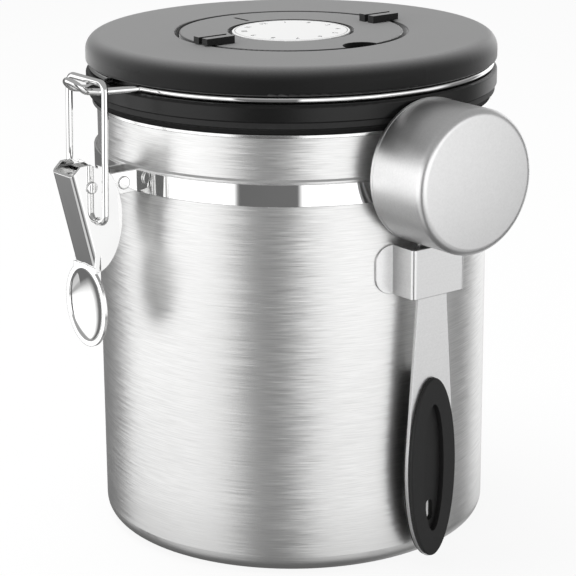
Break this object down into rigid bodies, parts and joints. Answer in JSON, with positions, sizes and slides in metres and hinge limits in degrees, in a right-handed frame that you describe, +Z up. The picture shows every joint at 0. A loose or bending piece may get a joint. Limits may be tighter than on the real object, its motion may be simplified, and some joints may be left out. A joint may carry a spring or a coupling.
{
  "type": "coffee canister",
  "caption": "Round steel storage can with a wire-clamped valve lid, a turning date ring on the lid and a measuring scoop held on its side.",
  "frame": {"origin": "middle of the base, on the plane it stands on", "axes": "+Z up, -Y towards the clasp, +Y towards the lid's hinge, +X towards the scoop"},
  "size_m": [0.1476, 0.154, 0.1554],
  "materials": {
    "brushed_body": "horizontally brushed stainless steel",
    "brushed_scoop": "fine satin stainless steel",
    "bright_band": "polished stainless sheet",
    "bright_wire": "polished round wire",
    "lid_grey": "matte dark grey moulding",
    "lid_black": "satin black moulding",
    "gasket_black": "soft silicone ring",
    "dial_plate": "pale printed plate",
    "valve_flap": "translucent grey silicone",
    "filter_felt": "pressed felt pad",
    "grip_black": "matte moulded grip"
  },
  "bodies": {
    "canister": {"canister_body": "brushed_body", "neck_band": "bright_band", "band_rivet": "bright_band", "hinge_bracket": "bright_band", "hinge_rivets": "bright_band", "scoop_holder": "brushed_scoop", "lever_pin": "bright_band"},
    "lid": {"lid_cap": "lid_grey", "lid_base": "lid_black", "lid_gasket": "gasket_black", "bail_wire": "bright_wire", "dial_disc": "dial_plate", "valve_body": "lid_black", "valve_retainer": "lid_black", "valve_filter": "filter_felt", "filter_guard": "lid_black"},
    "date_ring": {"date_ring": "lid_grey"},
    "valve_flap": {"valve_diaphragm": "valve_flap"},
    "clasp_lever": {"clasp_lever": "bright_band"},
    "clasp_link": {"clasp_link": "bright_wire"},
    "scoop": {"scoop_cup": "brushed_scoop", "scoop_handle": "brushed_scoop", "scoop_grip": "grip_black"}
  },
  "joints": [
    {"name": "lid_hinge", "type": "hinge", "parent": "canister", "child": "lid", "pos_m": [0, 0.0675, 0.128], "axis": [-1, 0, 0], "range_deg": [0, 105]},
    {"name": "clasp_lever", "type": "hinge", "parent": "canister", "child": "clasp_lever", "pos_m": [0, -0.0768, 0.1168], "axis": [-1, 0, 0], "range_deg": [0, 100]},
    {"name": "clasp_link", "type": "hinge", "parent": "clasp_lever", "child": "clasp_link", "pos_m": [0, -0.075, 0.1066], "axis": [-1, 0, 0], "range_deg": [-84, 0]},
    {"name": "date_ring", "type": "hinge", "parent": "lid", "child": "date_ring", "pos_m": [0, 0, 0.1515], "axis": [0, 0, 1], "continuous": true},
    {"name": "valve_lift", "type": "slide", "parent": "lid", "child": "valve_flap", "axis": [0, 0, 1], "range_m": [0, 0.0008], "stiffness_N_per_m": 20},
    {"name": "scoop_lift", "type": "slide", "parent": "canister", "child": "scoop", "axis": [0, 0, 1], "range_m": [0, 0.1]}
  ],
  "couplings": [
    {"joint": "clasp_link", "follows": "clasp_lever", "ratio": -0.84}
  ]
}
